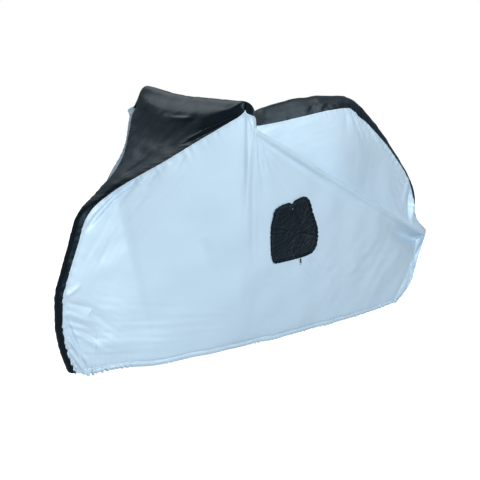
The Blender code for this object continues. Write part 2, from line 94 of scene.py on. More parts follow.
# Middle of the black panels, and the shoulder between it and the seam, as shares of the way in and up.
CROWN_LINE = (
    # station, x, z, shoulder in, shoulder up
    (0.000, 0.030, 0.164, 0.45, 0.80),
    (0.090, 0.004, 0.252, 0.45, 0.80),
    (0.190, -0.007, 0.347, 0.45, 0.80),
    (0.280, -0.003, 0.442, 0.45, 0.80),
    (0.370, 0.024, 0.532, 0.45, 0.80),
    (0.500, 0.066, 0.652, 0.45, 0.80),
    (0.565, 0.088, 0.712, 0.45, 0.80),
    (0.615, 0.113, 0.745, 0.45, 0.75),
    (0.710, 0.190, 0.798, 0.45, 0.75),
    (0.760, 0.230, 0.832, 0.45, 0.70),
    (0.915, 0.338, 0.902, 0.45, 0.60),
    (1.064, 0.430, 0.980, 0.45, 0.60),
    (1.170, 0.462, 1.040, 0.40, 0.70),
    (1.215, 0.480, 1.062, 0.30, 0.80),
    (1.240, 0.515, 1.088, 0.10, 0.80),
    (1.275, 0.560, 1.113, 0.02, 0.90),
    (1.310, 0.610, 1.090, 0.04, 0.80),
    (1.450, 0.720, 1.035, 0.30, 0.50),
    (1.620, 0.835, 1.030, 0.45, 0.52),
    (1.720, 0.920, 1.057, 0.45, 0.54),
    (1.900, 1.090, 1.086, 0.45, 0.56),
    (2.020, 1.220, 1.093, 0.45, 0.58),
    (2.110, 1.330, 1.089, 0.45, 0.60),
    (2.150, 1.372, 1.084, 0.45, 0.65),
    (2.190, 1.405, 1.075, 0.45, 0.70),
    (2.235, 1.440, 1.056, 0.45, 0.75),
    (2.300, 1.496, 1.012, 0.45, 0.78),
    (2.380, 1.562, 0.956, 0.45, 0.78),
    (2.470, 1.628, 0.890, 0.45, 0.78),
    (2.570, 1.710, 0.803, 0.45, 0.78),
    (2.670, 1.786, 0.717, 0.45, 0.78),
    (2.780, 1.848, 0.628, 0.45, 0.78),
    (2.860, 1.872, 0.563, 0.45, 0.70),
    (2.920, 1.874, 0.512, 0.45, 0.60),
    (2.975, 1.917, 0.458, 0.45, 0.50),
    (3.040, 1.966, 0.405, 0.45, 0.55),
    (3.140, 1.930, 0.310, 0.45, 0.78),
    (3.240, 1.878, 0.220, 0.45, 0.78),
    (3.400, 1.775, 0.092, 0.45, 0.78),
)

# Lower edge of a side.
HEM_LINE = (
    # station, x, y, z
    (0.000, 0.085, -0.036, 0.152),
    (0.280, 0.150, -0.055, 0.153),
    (0.500, 0.240, -0.071, 0.148),
    (0.710, 0.340, -0.084, 0.133),
    (1.000, 0.540, -0.099, 0.125),
    (1.275, 0.720, -0.100, 0.113),
    (1.620, 0.880, -0.098, 0.104),
    (1.900, 1.090, -0.094, 0.096),
    (2.180, 1.330, -0.089, 0.089),
    (2.470, 1.530, -0.081, 0.086),
    (2.780, 1.630, -0.075, 0.090),
    (3.400, 1.700, -0.069, 0.090),
)

# The line that parts the upper field from the lower one: behind the corner it is the tight fold that
# runs from there to the tail's tip.
TIGHT_FOLD = np.array([[0.600, -0.340, 1.016], [1.902, -0.068, 0.398]])
PARTING_LINE = (
    # station, share along the tight fold, share down from the seam, weight of the fold, moved out
    (0.000, 0, 0.45, 0, 0),
    (0.710, 0, 0.30, 0, 0),
    (1.200, 0, 0.10, 0, 0),
    (1.275, -0.01, 0.06, 1.0, 0),
    (1.310, 0, 0.06, 1.0, 0),
    (1.450, 0.06, 0.10, 1.0, 0),
    (1.620, 0.14, 0.20, 1.0, 0),
    (1.900, 0.33, 0.20, 1.0, 0),
    (2.165, 0.53, 0.20, 1.0, 0),
    (2.470, 0.73, 0.20, 1.0, 0),
    (2.780, 0.88, 0.20, 1.0, 0),
    (2.975, 0.975, 0.20, 1.0, 0),
    (3.040, 1.00, 0.20, 1.0, 0),
    (3.120, 1.00, 0.14, 0, -0.014),
    (3.200, 1.00, 0.14, 0, 0.008),
    (3.300, 1.00, 0.14, 0, 0.018),
    (3.400, 1.00, 0.30, 0, 0.008),
)
# How far the fields hang out of straight. The upper one swings in over a ledge above the parting line, to
# hang nearly plumb under the seam, and is swollen out below the hump. The lower one hangs in a little, and
# is tucked in below the line at the tail.
SLACK = (
    # station, swing, swell, lower field in at its middle, and just below the parting line
    (0.000, 0, 0, 0, 0),
    (0.500, 0, 0, 0.002, 0),
    (0.915, 0, 0, 0.008, 0),
    (1.275, 0, 0, 0.014, 0),
    (1.310, 0.25, 0, 0.014, 0),
    (1.450, 0.60, 0, 0.012, 0),
    (1.620, 0.74, 0.006, 0.010, 0),
    (1.720, 0.74, 0.014, 0.009, 0),
    (1.900, 0.72, 0.038, 0.006, 0),
    (2.020, 0.64, 0.052, 0.005, 0),
    (2.165, 0.62, 0.050, 0.004, 0),
    (2.300, 0.76, 0.030, 0.004, 0.002),
    (2.470, 0.84, 0.014, 0.004, 0.008),
    (2.780, 0.75, 0, 0.002, 0.024),
    (2.975, 0.60, 0, 0, 0.036),
    (3.040, 0, 0, 0, 0.032),
    (3.140, 0, 0, 0, 0.012),
    (3.400, 0, 0, 0, 0),
)
LEDGE = 0.018          # height over which the upper field turns in
HEM_DRAWN_IN = 0.006
HEM_DRAW_SHARE = 0.03  # share of the lower field over which the drawn-in hem widens

# The far side's lines, moved from the near side's mirror image: the cloth lies a little higher and
# farther out over the far corner, and has a belly beside the hood. Its upper field hangs straight.
FAR_SHIFT = (
    # station, seam x, y, z, shoulder x, y, z, parting x, y, z, belly x, y, z
    (0.000, 0, 0, 0, 0, 0, 0, 0, 0, 0, 0, 0, 0),
    (0.710, 0, 0, 0, 0, 0, 0, 0, 0, 0, 0, 0, 0),
    (0.760, 0.020, -0.002, 0, 0.012, 0, 0, 0, 0, 0, 0, 0, 0),
    (0.820, 0.028, -0.002, 0, 0.016, 0, 0, 0, 0, 0, -0.034, 0.024, 0),
    (0.870, 0.027, -0.003, 0, 0.012, 0, 0, 0, 0, 0, -0.052, 0.036, 0),
    (0.915, 0.022, -0.006, 0, 0.008, 0, 0, 0, 0, 0, -0.050, 0.036, 0),
    (1.064, 0, 0, 0, 0, 0, 0, -0.004, 0, 0, -0.028, 0.018, 0),
    (1.184, -0.018, 0, -0.010, 0.000, -0.010, 0.010, -0.020, 0.006, 0, -0.022, 0.012, 0),
    (1.275, -0.027, 0.000, -0.019, -0.002, -0.051, 0.032, -0.050, 0.006, 0, -0.024, 0.018, 0),
    (1.310, -0.040, 0.006, -0.008, -0.002, -0.045, 0.032, -0.044, 0.006, 0, -0.020, 0.012, 0),
    (1.620, 0, 0, 0, 0, 0, 0, 0, 0, 0, 0, 0, 0),
    (3.400, 0, 0, 0, 0, 0, 0, 0, 0, 0, 0, 0, 0),
)

# Long folds of the near side, each a straight ridge or, where its height is negative, a trough,
# between two points of the side view.
NEAR_FOLDS = (
    # start x, z, end x, z, half width at start, at end, height
    # from the front corner down, and behind it
    (0.563, 1.075, 0.705, 0.440, 0.004, 0.020, 0.0050),
    (0.577, 1.062, 0.600, 0.930, 0.004, 0.010, -0.0030),
    (0.588, 1.058, 0.597, 0.985, 0.003, 0.006, 0.0025),
    (0.598, 1.030, 0.795, 0.177, 0.004, 0.016, -0.0020),
    (0.612, 1.020, 0.720, 0.640, 0.005, 0.014, 0.0020),
    (0.619, 1.005, 0.801, 0.312, 0.005, 0.018, -0.0025),
    (0.640, 0.960, 0.776, 0.534, 0.008, 0.022, -0.0025),
    (0.590, 1.040, 0.640, 0.640, 0.020, 0.040, 0.0050),
    (0.502, 0.611, 0.561, 0.422, 0.020, 0.030, -0.0040),
    # the tight fold from the corner to the tail, and the troughs along it
    (0.602, 1.014, 1.890, 0.394, 0.006, 0.012, 0.0090),
    (0.604, 1.022, 0.930, 0.885, 0.004, 0.009, -0.0045),
    (0.612, 1.000, 1.100, 0.745, 0.004, 0.009, -0.0035),
    (0.700, 0.986, 1.892, 0.418, 0.006, 0.013, -0.0240),
    (0.612, 0.990, 1.420, 0.562, 0.006, 0.040, -0.0110),
    # the fan between the corner and the pocket
    (0.615, 0.985, 0.698, 0.748, 0.004, 0.008, 0.0025),
    (0.628, 0.977, 0.742, 0.723, 0.004, 0.010, -0.0040),
    (0.643, 0.958, 0.787, 0.724, 0.005, 0.014, 0.0035),
    (0.657, 0.946, 0.851, 0.736, 0.005, 0.014, -0.0030),
    (0.679, 0.937, 0.917, 0.751, 0.006, 0.018, 0.0035),
    # below the hood's seam
    (0.288, 0.856, 0.100, 0.662, 0.004, 0.007, -0.0130),
    (0.274, 0.858, 0.096, 0.680, 0.004, 0.006, 0.0060),
    (0.248, 0.823, 0.147, 0.681, 0.005, 0.010, 0.0035),
    (0.276, 0.840, 0.207, 0.732, 0.005, 0.009, -0.0030),
    (0.303, 0.861, 0.249, 0.762, 0.005, 0.010, 0.0035),
    (0.336, 0.878, 0.297, 0.801, 0.005, 0.009, -0.0035),
    (0.369, 0.903, 0.338, 0.839, 0.005, 0.010, 0.0035),
    (0.409, 0.930, 0.385, 0.878, 0.004, 0.009, -0.0035),
    (0.150, 0.560, 0.420, 0.760, 0.030, 0.050, -0.0040),
    # from the nose's seam and the lower front corner
    (0.024, 0.452, 0.090, 0.490, 0.005, 0.010, 0.0050),
    (0.024, 0.434, 0.138, 0.386, 0.004, 0.010, -0.0050),
    (0.021, 0.396, 0.154, 0.324, 0.005, 0.014, 0.0035),
    (0.022, 0.372, 0.150, 0.300, 0.005, 0.016, -0.0040),
    (0.022, 0.342, 0.163, 0.261, 0.006, 0.022, -0.0055),
    (0.041, 0.330, 0.168, 0.215, 0.006, 0.016, 0.0035),
    (0.023, 0.304, 0.102, 0.170, 0.005, 0.010, 0.0060),
    (0.022, 0.377, 0.085, 0.165, 0.004, 0.006, -0.0065),
    (0.027, 0.257, 0.080, 0.158, 0.004, 0.006, 0.0050),
    (0.110, 0.380, 0.200, 0.300, 0.014, 0.024, -0.0050),
    (0.120, 0.260, 0.400, 0.220, 0.030, 0.045, 0.0050),
    # behind the hump and along the rear seam
    (1.324, 1.026, 1.365, 0.905, 0.006, 0.018, -0.0070),
    (1.300, 1.024, 1.290, 0.930, 0.006, 0.016, 0.0040),
    (1.286, 1.028, 1.227, 0.937, 0.006, 0.020, -0.0040),
    (1.350, 1.010, 1.393, 0.900, 0.006, 0.014, 0.0050),
    (1.370, 1.002, 1.429, 0.909, 0.005, 0.016, -0.0060),
    (1.440, 0.968, 1.511, 0.867, 0.005, 0.014, -0.0060),
    (1.460, 0.955, 1.530, 0.870, 0.005, 0.012, 0.0040),
    (1.481, 0.935, 1.565, 0.845, 0.005, 0.012, 0.0050),
    (1.539, 0.891, 1.618, 0.808, 0.005, 0.012, -0.0050),
    (1.611, 0.823, 1.672, 0.757, 0.005, 0.012, -0.0050),
    # at the tail
    (1.895, 0.366, 1.560, 0.490, 0.012, 0.030, -0.0200),
    (1.900, 0.410, 1.640, 0.560, 0.006, 0.012, 0.0080),
    (1.812, 0.610, 1.790, 0.470, 0.008, 0.010, 0.0140),
    (1.790, 0.660, 1.765, 0.470, 0.008, 0.012, -0.0140),
    (1.758, 0.710, 1.720, 0.560, 0.012, 0.020, 0.0080),
    # below the pocket
    (1.028, 0.453, 1.150, 0.346, 0.005, 0.012, -0.0045),
    (1.062, 0.482, 1.177, 0.415, 0.005, 0.012, -0.0035),
    (0.982, 0.430, 1.072, 0.344, 0.004, 0.010, 0.0030),
    (0.927, 0.450, 0.961, 0.376, 0.004, 0.010, -0.0030),
)

# Small puckers that stand off the seam, and gathers that stand on the hem.
SEAM_PUCKERS = (
    # station, height, reach
    (0.000, 0.0030, 0.020),
    (0.160, 0.0022, 0.016),
    (0.400, 0.0013, 0.012),
    (0.560, 0.0012, 0.012),
    (0.700, 0.0022, 0.016),
    (0.900, 0.0026, 0.018),
    (1.100, 0.0020, 0.014),
    (1.200, 0.0014, 0.012),
    (1.310, 0.0008, 0.012),
    (1.620, 0.0012, 0.012),
    (2.000, 0.0018, 0.016),
    (2.150, 0.0026, 0.022),
    (2.600, 0.0028, 0.022),
    (2.900, 0.0022, 0.018),
    (3.040, 0.0012, 0.014),
    (3.400, 0.0026, 0.022),
)
PUCKER_SPACING = 0.022
PUCKER_SLANT = 0.25    # how far puckers lean along the seam as they leave it
SEAM_ROLL, SEAM_ROLL_REACH = 0.0012, 0.004
SEAM_FLAT = 0.005      # reach over which the folds rise from the flat cloth along a seam
PUCKER_RISE = 0.003
HEM_GATHERS = (
    # x along the hem, height, reach
    (0.050, 0.0056, 0.014),
    (0.200, 0.0050, 0.012),
    (0.300, 0.0020, 0.010),
    (0.700, 0.0018, 0.012),
    (0.900, 0.0030, 0.014),
    (1.300, 0.0042, 0.016),
    (1.750, 0.0044, 0.018),
)
GATHER_SPACING = 0.014
CASING = 0.021         # height of the turned-up casing
CASING_SWELL, CASING_GROOVE, GROOVE_HALF = 0.0030, 0.0034, 0.0035
GROOVE_UNEVEN, GROOVE_SPACING = 0.4, 0.09
# Small creases, strongest at a middle and fading over a reach: first two fields over the whole side.
WRINKLES = (
    # middle x, z, reach x, z, spacing, height, crest direction in degrees, spread, seed
    (0.900, 0.500, 9.00, 9.00, 0.220, 0.0026, 80, 60, 11),
    (0.900, 0.500, 9.00, 9.00, 0.090, 0.0004, 40, 50, 12),
    (0.220, 0.720, 0.17, 0.14, 0.032, 0.0010, 54, 8, 13),
    (0.100, 0.330, 0.12, 0.12, 0.036, 0.0007, -28, 14, 14),
    (0.400, 0.270, 0.30, 0.10, 0.034, 0.0008, -6, 6, 15),
    (0.950, 0.970, 0.30, 0.08, 0.034, 0.0009, 12, 12, 16),
    (1.700, 0.640, 0.14, 0.12, 0.050, 0.0010, -50, 22, 17),
    (1.000, 0.400, 0.22, 0.07, 0.032, 0.0009, -40, 30, 18),
    (1.450, 0.330, 0.35, 0.22, 0.090, 0.0012, 30, 30, 19),
)

ROW_RUNS = (
    # from station, to station, cells
    (0.000, 0.565, 90),
    (0.565, 0.710, 24),
    (0.710, 1.184, 80),
    (1.184, 1.310, 42),
    (1.310, 1.620, 60),
    (1.620, 2.110, 75),
    (2.110, 2.300, 34),
    (2.300, 2.780, 72),
    (2.780, 3.040, 44),
    (3.040, 3.400, 50),
)
RIDGE_STATION = 1.275  # where the hood's back seam crosses the side seam
station = np.concatenate(
    [np.linspace(start, end, cells, endpoint=False) for start, end, cells in ROW_RUNS] + [[ROW_RUNS[-1][1]]]
)
# Columns of a side as shares of each field, close together at the hem.
HEM_BAND = 0.06
HEM_COLUMNS, LOWER_COLUMNS, UPPER_COLUMNS = 18, 82, 43
lower_share = np.concatenate(
    [np.linspace(0, HEM_BAND, HEM_COLUMNS, endpoint=False), np.linspace(HEM_BAND, 1, LOWER_COLUMNS)]
)
upper_share = np.linspace(0, 1, UPPER_COLUMNS)


def smooth(table, at):
    """Columns of a table at any place: between two rows a cubic whose slope at each row is the harmonic
    mean of the two slopes beside it, or zero where these differ in sign."""
    table = np.array(table, float)
    place, values = table[:, 0], table[:, 1:]
    width = np.diff(place)[:, None]
    rise = np.diff(values, axis=0) / width
    product = rise[:-1] * rise[1:]
    total = np.where(product > 0, rise[:-1] + rise[1:], 1.0)
    slope = np.vstack([rise[:1], np.where(product > 0, 2 * product / total, 0.0), rise[-1:]])
    at = np.clip(at, place[0], place[-1])
    cell = np.clip(np.searchsorted(place, at, side="right") - 1, 0, len(place) - 2)
    t = ((at - place[cell]) / width[cell, 0])[..., None]
    start, end = values[cell], values[cell + 1]
    pull_start, pull_end = slope[cell] * width[cell], slope[cell + 1] * width[cell]
    return (
        start * (1 + 2 * t) * (1 - t) ** 2
        + pull_start * t * (1 - t) ** 2
        + end * t * t * (3 - 2 * t)
        + pull_end * t * t * (t - 1)
    )


def bell(share, start_power, end_power):
    """A hump over the shares 0 to 1: share^a times (1 - share)^b, divided by its own peak."""
    peak = start_power / (start_power + end_power)
    shape = share**start_power * (1 - share) ** end_power
    return shape / (peak**start_power * (1 - peak) ** end_power)


def unit(vectors):
    return vectors / np.linalg.norm(vectors, axis=-1, keepdims=True)


def ripple(along, spacing, seed):
    """Uneven waves, about one to each spacing: the sum of nine sines, whose lengths are 0.6 to 1.8 times
    the spacing and whose starts are drawn by lot, divided by three."""
    lot = np.random.default_rng(seed)
    length = spacing * lot.uniform(0.6, 1.8, 9)
    start = lot.uniform(0, 2 * np.pi, 9)
    return sum(np.sin(along * 2 * np.pi / a + b) for a, b in zip(length, start)) / 3


def crumple(x, z, spacing, crest, spread, seed):
    """Uneven waves in the side view: the sum of sixteen plane waves of 0.6 to 1.8 times the spacing, whose
    crests lie within the spread of the direction given, divided by four."""
    lot = np.random.default_rng(seed)
    turn = np.radians(crest + 90 + lot.uniform(-spread, spread, 16))
    pitch = 2 * np.pi / (spacing * lot.uniform(0.6, 1.8, 16))
    start = lot.uniform(0, 2 * np.pi, 16)
    return sum(
        np.sin((x * np.cos(a) + z * np.sin(a)) * b + c) for a, b, c in zip(turn, pitch, start)
    ) / 4


def fold_height(x, z, table):
    """All long folds: each is a bell curve across its line, whose width grows from start to end, times a
    hump along it that rises steeply and fades slowly."""
    height = 0 * x
    for start_x, start_z, end_x, end_z, narrow, wide, peak in table:
        run_x, run_z = end_x - start_x, end_z - start_z
        length = np.hypot(run_x, run_z)
        along = np.clip(((x - start_x) * run_x + (z - start_z) * run_z) / length**2, 0, 1)
        across = ((x - start_x) * run_z - (z - start_z) * run_x) / length
        width = narrow + (wide - narrow) * along
        height += peak * bell(along, 0.35, 1.0) * np.exp(-((across / width) ** 2))
    return height


def far_shift(at, line):
    """How far one line of the far side lies from the near one, laid out on the near side."""
    first = ("seam", "shoulder", "parting", "belly").index(line) * 3
    return smooth(FAR_SHIFT, at)[:, first : first + 3] * (1, -1, 1)


def side_face(far):
    """Points of a side before its folds, rows by columns from hem to seam, laid out on the near side. Each
    row is straight from hem to parting line and from there to seam, then moved by the slack. The upper field
    swings in by its share of the way to plumb, times 1 - e^(-rise / ledge), and swells out as a hump."""
    seam, hem = smooth(SEAM_LINE, station), smooth(HEM_LINE, station)
    along, down, weight, out = smooth(PARTING_LINE, station).T[:, :, None]
    fold = TIGHT_FOLD[0] + (TIGHT_FOLD[1] - TIGHT_FOLD[0]) * along
    parting = (seam + (hem - seam) * down) * (1 - weight) + fold * weight
    parting[:, 1:2] -= out
    belly = 0 * seam
    if far:
        belly = far_shift(station, "belly")
        seam = seam + far_shift(station, "seam")
        parting = parting + far_shift(station, "parting")
    swing, swell, lower_in, tuck_in = smooth(SLACK, station).T[:, :, None]
    if far:
        swing, swell = 0, 0
    low = lower_share[:-1]
    lower = hem[:, None] + (parting - hem)[:, None] * low[:, None]
    upper = parting[:, None] + (seam - parting)[:, None] * upper_share[:, None]
    lower[:, :, 1] += lower_in * bell(low, 1, 1) + tuck_in * bell(low, 9, 1)
    lower[:, :, 1] += HEM_DRAWN_IN * np.exp(-((low / HEM_DRAW_SHARE) ** 2))
    rise = np.abs(upper - parting[:, None])[:, :, 2]
    plumb = (seam - parting)[:, 1:2] * (1 - upper_share)
    upper[:, :, 1] += swing * plumb * (1 - np.exp(-rise / LEDGE)) - swell * bell(upper_share, 1, 1)
    upper += belly[:, None] * bell(upper_share, 2, 2)[:, None]
    return np.concatenate([lower, upper], axis=1)


def lengths_along(grid, axis):
    """Running length of the grid's lines along an axis, from its first point."""
    step = np.linalg.norm(np.diff(grid, axis=axis), axis=2)
    return np.insert(np.cumsum(step, axis=axis), 0, 0, axis=axis)


def nearest_on(line, face):
    """For each point of a side the row number of the nearest point of a line in the side view, and the
    distance to it."""
    here = face[:, :, ::2].reshape(-1, 2)
    row = np.empty(len(here), int)
    away = np.empty(len(here))
    for part in np.array_split(np.arange(len(here)), 40):      # in lots, to save memory
        squared = ((here[part][:, None] - line[None, :, ::2]) ** 2).sum(axis=2)
        row[part] = squared.argmin(axis=1)
        away[part] = np.sqrt(squared.min(axis=1))
    return row.reshape(face.shape[:2]), away.reshape(face.shape[:2])


def side_panel(far, folds, seed):
    """A side before its folds, its normals, the height of all its folds along them, and each point's
    distances from seam and hem."""
    face = side_face(far)
    normal = unit(np.cross(np.gradient(face, axis=0), np.gradient(face, axis=1)))
    from_hem = lengths_along(face, 1)
    from_seam = from_hem[:, -1:] - from_hem
    x, z = face[:, :, 0], face[:, :, 2]
    height = fold_height(x, z, folds)
    for middle_x, middle_z, reach_x, reach_z, spacing, peak, crest, spread, number in WRINKLES:
        near = np.exp(-(((x - middle_x) / reach_x) ** 2) - ((z - middle_z) / reach_z) ** 2)
        height += near * peak * crumple(x, z, spacing, crest, spread, seed + number)

    # Puckers run square to the seam and a little downwards, gathers square to the hem.
    row, away = nearest_on(face[:, -1], face)
    height *= 1 - np.exp(-away / SEAM_FLAT)
    pucker, reach = smooth(SEAM_PUCKERS, station).T[:, row]
    wave = ripple(station[row] + PUCKER_SLANT * away, PUCKER_SPACING, seed + 1)
    height += pucker * wave * np.exp(-away / reach) * (1 - np.exp(-away / PUCKER_RISE))
    height += SEAM_ROLL * np.exp(-(((away - SEAM_ROLL_REACH) / SEAM_ROLL_REACH) ** 2))

    row, away = nearest_on(face[:, 0], face)
    gather, reach = smooth(HEM_GATHERS, face[:, 0, 0]).T[:, row]
    run = lengths_along(face, 0)[:, 0][row]
    height += gather * ripple(run, GATHER_SPACING, seed + 2) * np.exp(-away / reach)
    in_casing = np.clip(away / CASING, 0, 1)
    groove = CASING_GROOVE * (1 + GROOVE_UNEVEN * ripple(run, GROOVE_SPACING, seed + 3))
    height += CASING_SWELL * bell(in_casing, 0.5, 0.5)
    height -= groove * np.exp(-(((away - CASING) / GROOVE_HALF) ** 2))
    return face, normal, height, from_seam, from_hem


def spine_face(rows, columns):
    """The black panels' points before their folds, from the near seam over the crown to the far seam: a
    smooth line through seam, shoulder, crown, far shoulder and far seam in each row."""
    seam = smooth(SEAM_LINE, rows)
    crown_x, crown_z, shoulder_in, shoulder_up = smooth(CROWN_LINE, rows).T
    crown = np.stack([crown_x, 0 * crown_x, crown_z], axis=1)
    share = np.stack([shoulder_up, shoulder_in, shoulder_up], axis=1)
    shoulder = seam + (crown - seam) * share
    far_seam = (seam + far_shift(rows, "seam")) * (1, -1, 1)
    far_shoulder = (shoulder + far_shift(rows, "shoulder")) * (1, -1, 1)
    lines = np.stack([seam, shoulder, crown, far_shoulder, far_seam])
    across = smooth(np.column_stack([np.linspace(0, 1, 5), lines.reshape(5, -1)]), columns)
    return across.reshape(len(columns), len(rows), 3).swapaxes(0, 1)


def inward(side_points, spine_points):
    """Where two sewn panels' allowances point: halfway between the ways that the panels take from the seam,
    both given as rows of a seam point and of the next point from it."""
    way = unit(side_points[1] - side_points[0]) + unit(spine_points[1] - spine_points[0])
    return unit(way)


SEAM_GAP, SEAM_ROUNDING = 0.0004, 0.0008
ALLOWANCE = (0.003, 0.008)     # depths of the cloth turned in behind a seam, at its middle and at its edge
TURNED_COLUMNS = 4
HEM_LINES, HEM_GAP = 10, 0.0024


def turned_in(grid, way):
    """The last column turned in along `way`: stopped short of the seam, then down beside it."""
    edge = grid[:, -1]
    back = unit(grid[:, -2] - edge)
    beside = edge + back * SEAM_GAP
    turned = [beside + back * SEAM_ROUNDING, beside + way * SEAM_ROUNDING]
    turned += [beside + way * depth for depth in ALLOWANCE]
    return np.concatenate([grid[:, :-1], np.stack(turned, axis=1)], axis=1)


def over_turned_in(values):
    """Distances in the cloth carried on over the turned-in columns."""
    return np.concatenate([values[:, :-1], np.repeat(values[:, -1:], TURNED_COLUMNS, axis=1)], axis=1)


def turned_under(grid, normal):
    """The first columns turned under the cloth: a second layer of as many lines, a gap inside it, and a
    rounded edge between the two."""
    under = (grid - HEM_GAP * normal)[:, HEM_LINES::-1]
    out = unit(grid[:, :1] - grid[:, 1:2])
    edge = grid[:, :1] + HEM_GAP / 2 * (out - normal[:, :1])
    return np.concatenate([under, edge, grid], axis=1)


def over_turned_under(values):
    """Distances in the cloth carried on over the turned-under layer."""
    return np.concatenate([values[:, HEM_LINES::-1], values[:, :1], values], axis=1)


def skin(name, points, maps, material, node):
    """A skin of quads over a grid of points, rows by columns, in the part's frame. Its outer face looks
    along row direction times column direction. Each map gives every point a place in the cloth, in metres."""
    rows, columns = points.shape[:2]
    number = np.arange(rows * columns).reshape(rows, columns)
    quads = np.stack([number[:-1, :-1], number[1:, :-1], number[1:, 1:], number[:-1, 1:]], axis=2)
    quads = quads.reshape(-1, 4)
    mesh = bpy.data.meshes.new(name)
    mesh.from_pydata((points.reshape(-1, 3) - HANG_POINT).tolist(), [], quads.tolist())
    for label, (u, v) in maps.items():
        layer = mesh.uv_layers.new(name=label)
        places = np.stack([np.broadcast_to(u, number.shape), np.broadcast_to(v, number.shape)], axis=2)
        layer.data.foreach_set("uv", places.reshape(-1, 2)[quads.ravel()].ravel())
    mesh.materials.append(material)
    mesh.shade_smooth()
    piece = bpy.data.objects.new(name, mesh)
    bpy.context.scene.collection.objects.link(piece)
    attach(piece, "root")
    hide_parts(node)
    return piece


def linear(code):
    """An sRGB hex colour as linear red, green, blue and alpha."""
    part = np.array([int(code[i : i + 2], 16) for i in (1, 3, 5)]) / 255
    value = np.where(part <= 0.04045, part / 12.92, ((part + 0.055) / 1.055) ** 2.4)
    return (*value.tolist(), 1.0)


def add_node(tree, kind, settings=(), **links):
    """Adds one shader node, with its settings by property or input name, and links its inputs from sockets.
    Input names are given with _ for a space, or as in0, in1 by number."""
    new = tree.nodes.new("ShaderNode" + kind)
    for key, value in dict(settings).items():
        if isinstance(key, str) and hasattr(new, key):
            setattr(new, key, value)
        else:
            new.inputs[key].default_value = value
    for key, socket in links.items():
        place = int(key[2:]) if key.startswith("in") and key[2:].isdigit() else key.replace("_", " ")
        tree.links.new(socket, new.inputs[place])
    return new


CRINKLE_SIZE, CRINKLE_DEPTH = 0.024, 0.004
THREAD_SPACING, THREAD_REACH, THREAD_DEPTH = 0.001, 0.017, 0.0002
STITCH_PITCH, STITCH_SHARE, STITCH_HALF, STITCH_DEPTH = 0.004, 0.75, 0.0004, 0.0005
SEAM_STITCH, HEM_STITCH = 0.006, 0.022     # how far the stitch lines lie from seam and hem


def cloth_finish(name, base, roughness, metallic, specular, sheen, sheen_tint, crinkle, stitch):
    """Coated nylon: weave and crinkle as bump, and lockstitch lines along seam and hem. The weave of
    70-denier nylon has a thread every 0.2 mm. It is drawn at 1 mm, the finest that a close view shows."""
    material = bpy.data.materials.new(name)
    material.use_nodes = True
    tree = material.node_tree
    shader = tree.nodes["Principled BSDF"]
    shader.inputs["Roughness"].default_value = roughness
    shader.inputs["Metallic"].default_value = metallic
    shader.inputs["Specular IOR Level"].default_value = specular
    shader.inputs["Sheen Weight"].default_value = sheen
    shader.inputs["Sheen Roughness"].default_value = 0.5
    shader.inputs["Sheen Tint"].default_value = sheen_tint
    shader.inputs["Specular Tint"].default_value = sheen_tint
    place = add_node(tree, "TexCoord").outputs["Object"]
    thread = []
    fine_scale, long_scale = 1 / THREAD_SPACING, 1 / THREAD_REACH
    for stretch in ((fine_scale, long_scale, long_scale), (long_scale, long_scale, fine_scale)):
        along = add_node(tree, "Mapping", {"Scale": stretch}, Vector=place)
        noise = add_node(tree, "TexNoise", {"Scale": 1.0, "Detail": 0.0}, Vector=along.outputs[0])
        thread.append(noise)
    weave = add_node(
        tree, "Math", {"operation": "MAXIMUM"}, in0=thread[0].outputs[0], in1=thread[1].outputs[0]
    )
    # Crinkles of the coating, 12 mm and 5 mm across.
    noise = add_node(tree, "TexNoise", {"Scale": 1 / CRINKLE_SIZE, "Detail": 3.0}, Vector=place)
    creases = add_node(
        tree, "Bump", {"Strength": crinkle, "Distance": CRINKLE_DEPTH}, Height=noise.outputs[0]
    )
    fine = add_node(
        tree,
        "Bump",
        {"Strength": 0.15, "Distance": THREAD_DEPTH},
        Height=weave.outputs[0],
        Normal=creases.outputs[0],
    )
    # Stitches 3 mm long, one every 4 mm, 6 mm from the seam and 22 mm from the hem.
    lines = []
    for label, away in (("seam", SEAM_STITCH), ("hem", HEM_STITCH)):
        cut = add_node(tree, "UVMap", {"uv_map": label})
        split = add_node(tree, "SeparateXYZ", Vector=cut.outputs[0])
        count = add_node(tree, "Math", {"operation": "DIVIDE", 1: STITCH_PITCH}, in0=split.outputs[0])
        part = add_node(tree, "Math", {"operation": "FRACT"}, in0=count.outputs[0])
        dash = add_node(tree, "Math", {"operation": "LESS_THAN", 1: STITCH_SHARE}, in0=part.outputs[0])
        line = add_node(tree, "Math", {"operation": "COMPARE", 1: away, 2: STITCH_HALF}, in0=split.outputs[1])
        lines.append(
            add_node(tree, "Math", {"operation": "MULTIPLY"}, in0=dash.outputs[0], in1=line.outputs[0])
        )
    stitches = add_node(
        tree, "Math", {"operation": "MAXIMUM"}, in0=lines[0].outputs[0], in1=lines[1].outputs[0]
    )
    colour = add_node(
        tree,
        "Mix",
        {"data_type": "RGBA", 6: linear(base), 7: linear(stitch)},
        in0=stitches.outputs[0],
    )
    sewn = add_node(
        tree,
        "Bump",
        {"Strength": 0.6, "Distance": STITCH_DEPTH},
        Height=stitches.outputs[0],
        Normal=fine.outputs[0],
    )
    tree.links.new(colour.outputs[2], shader.inputs["Base Color"])
    tree.links.new(sewn.outputs[0], shader.inputs["Normal"])
    return material


# Nylon with an aluminium-pigmented polyurethane coating: a pale blue grey with a soft satin gloss.
silver_nylon = cloth_finish(
    "silver_coated_nylon",
    base="#C4DDEF",
    roughness=0.5,
    metallic=0.15,
    specular=0.5,
    sheen=0.0,
    sheen_tint=(0.8, 0.9, 1.0, 1.0),
    crinkle=0.12,
    stitch="#9FB2C0",
)

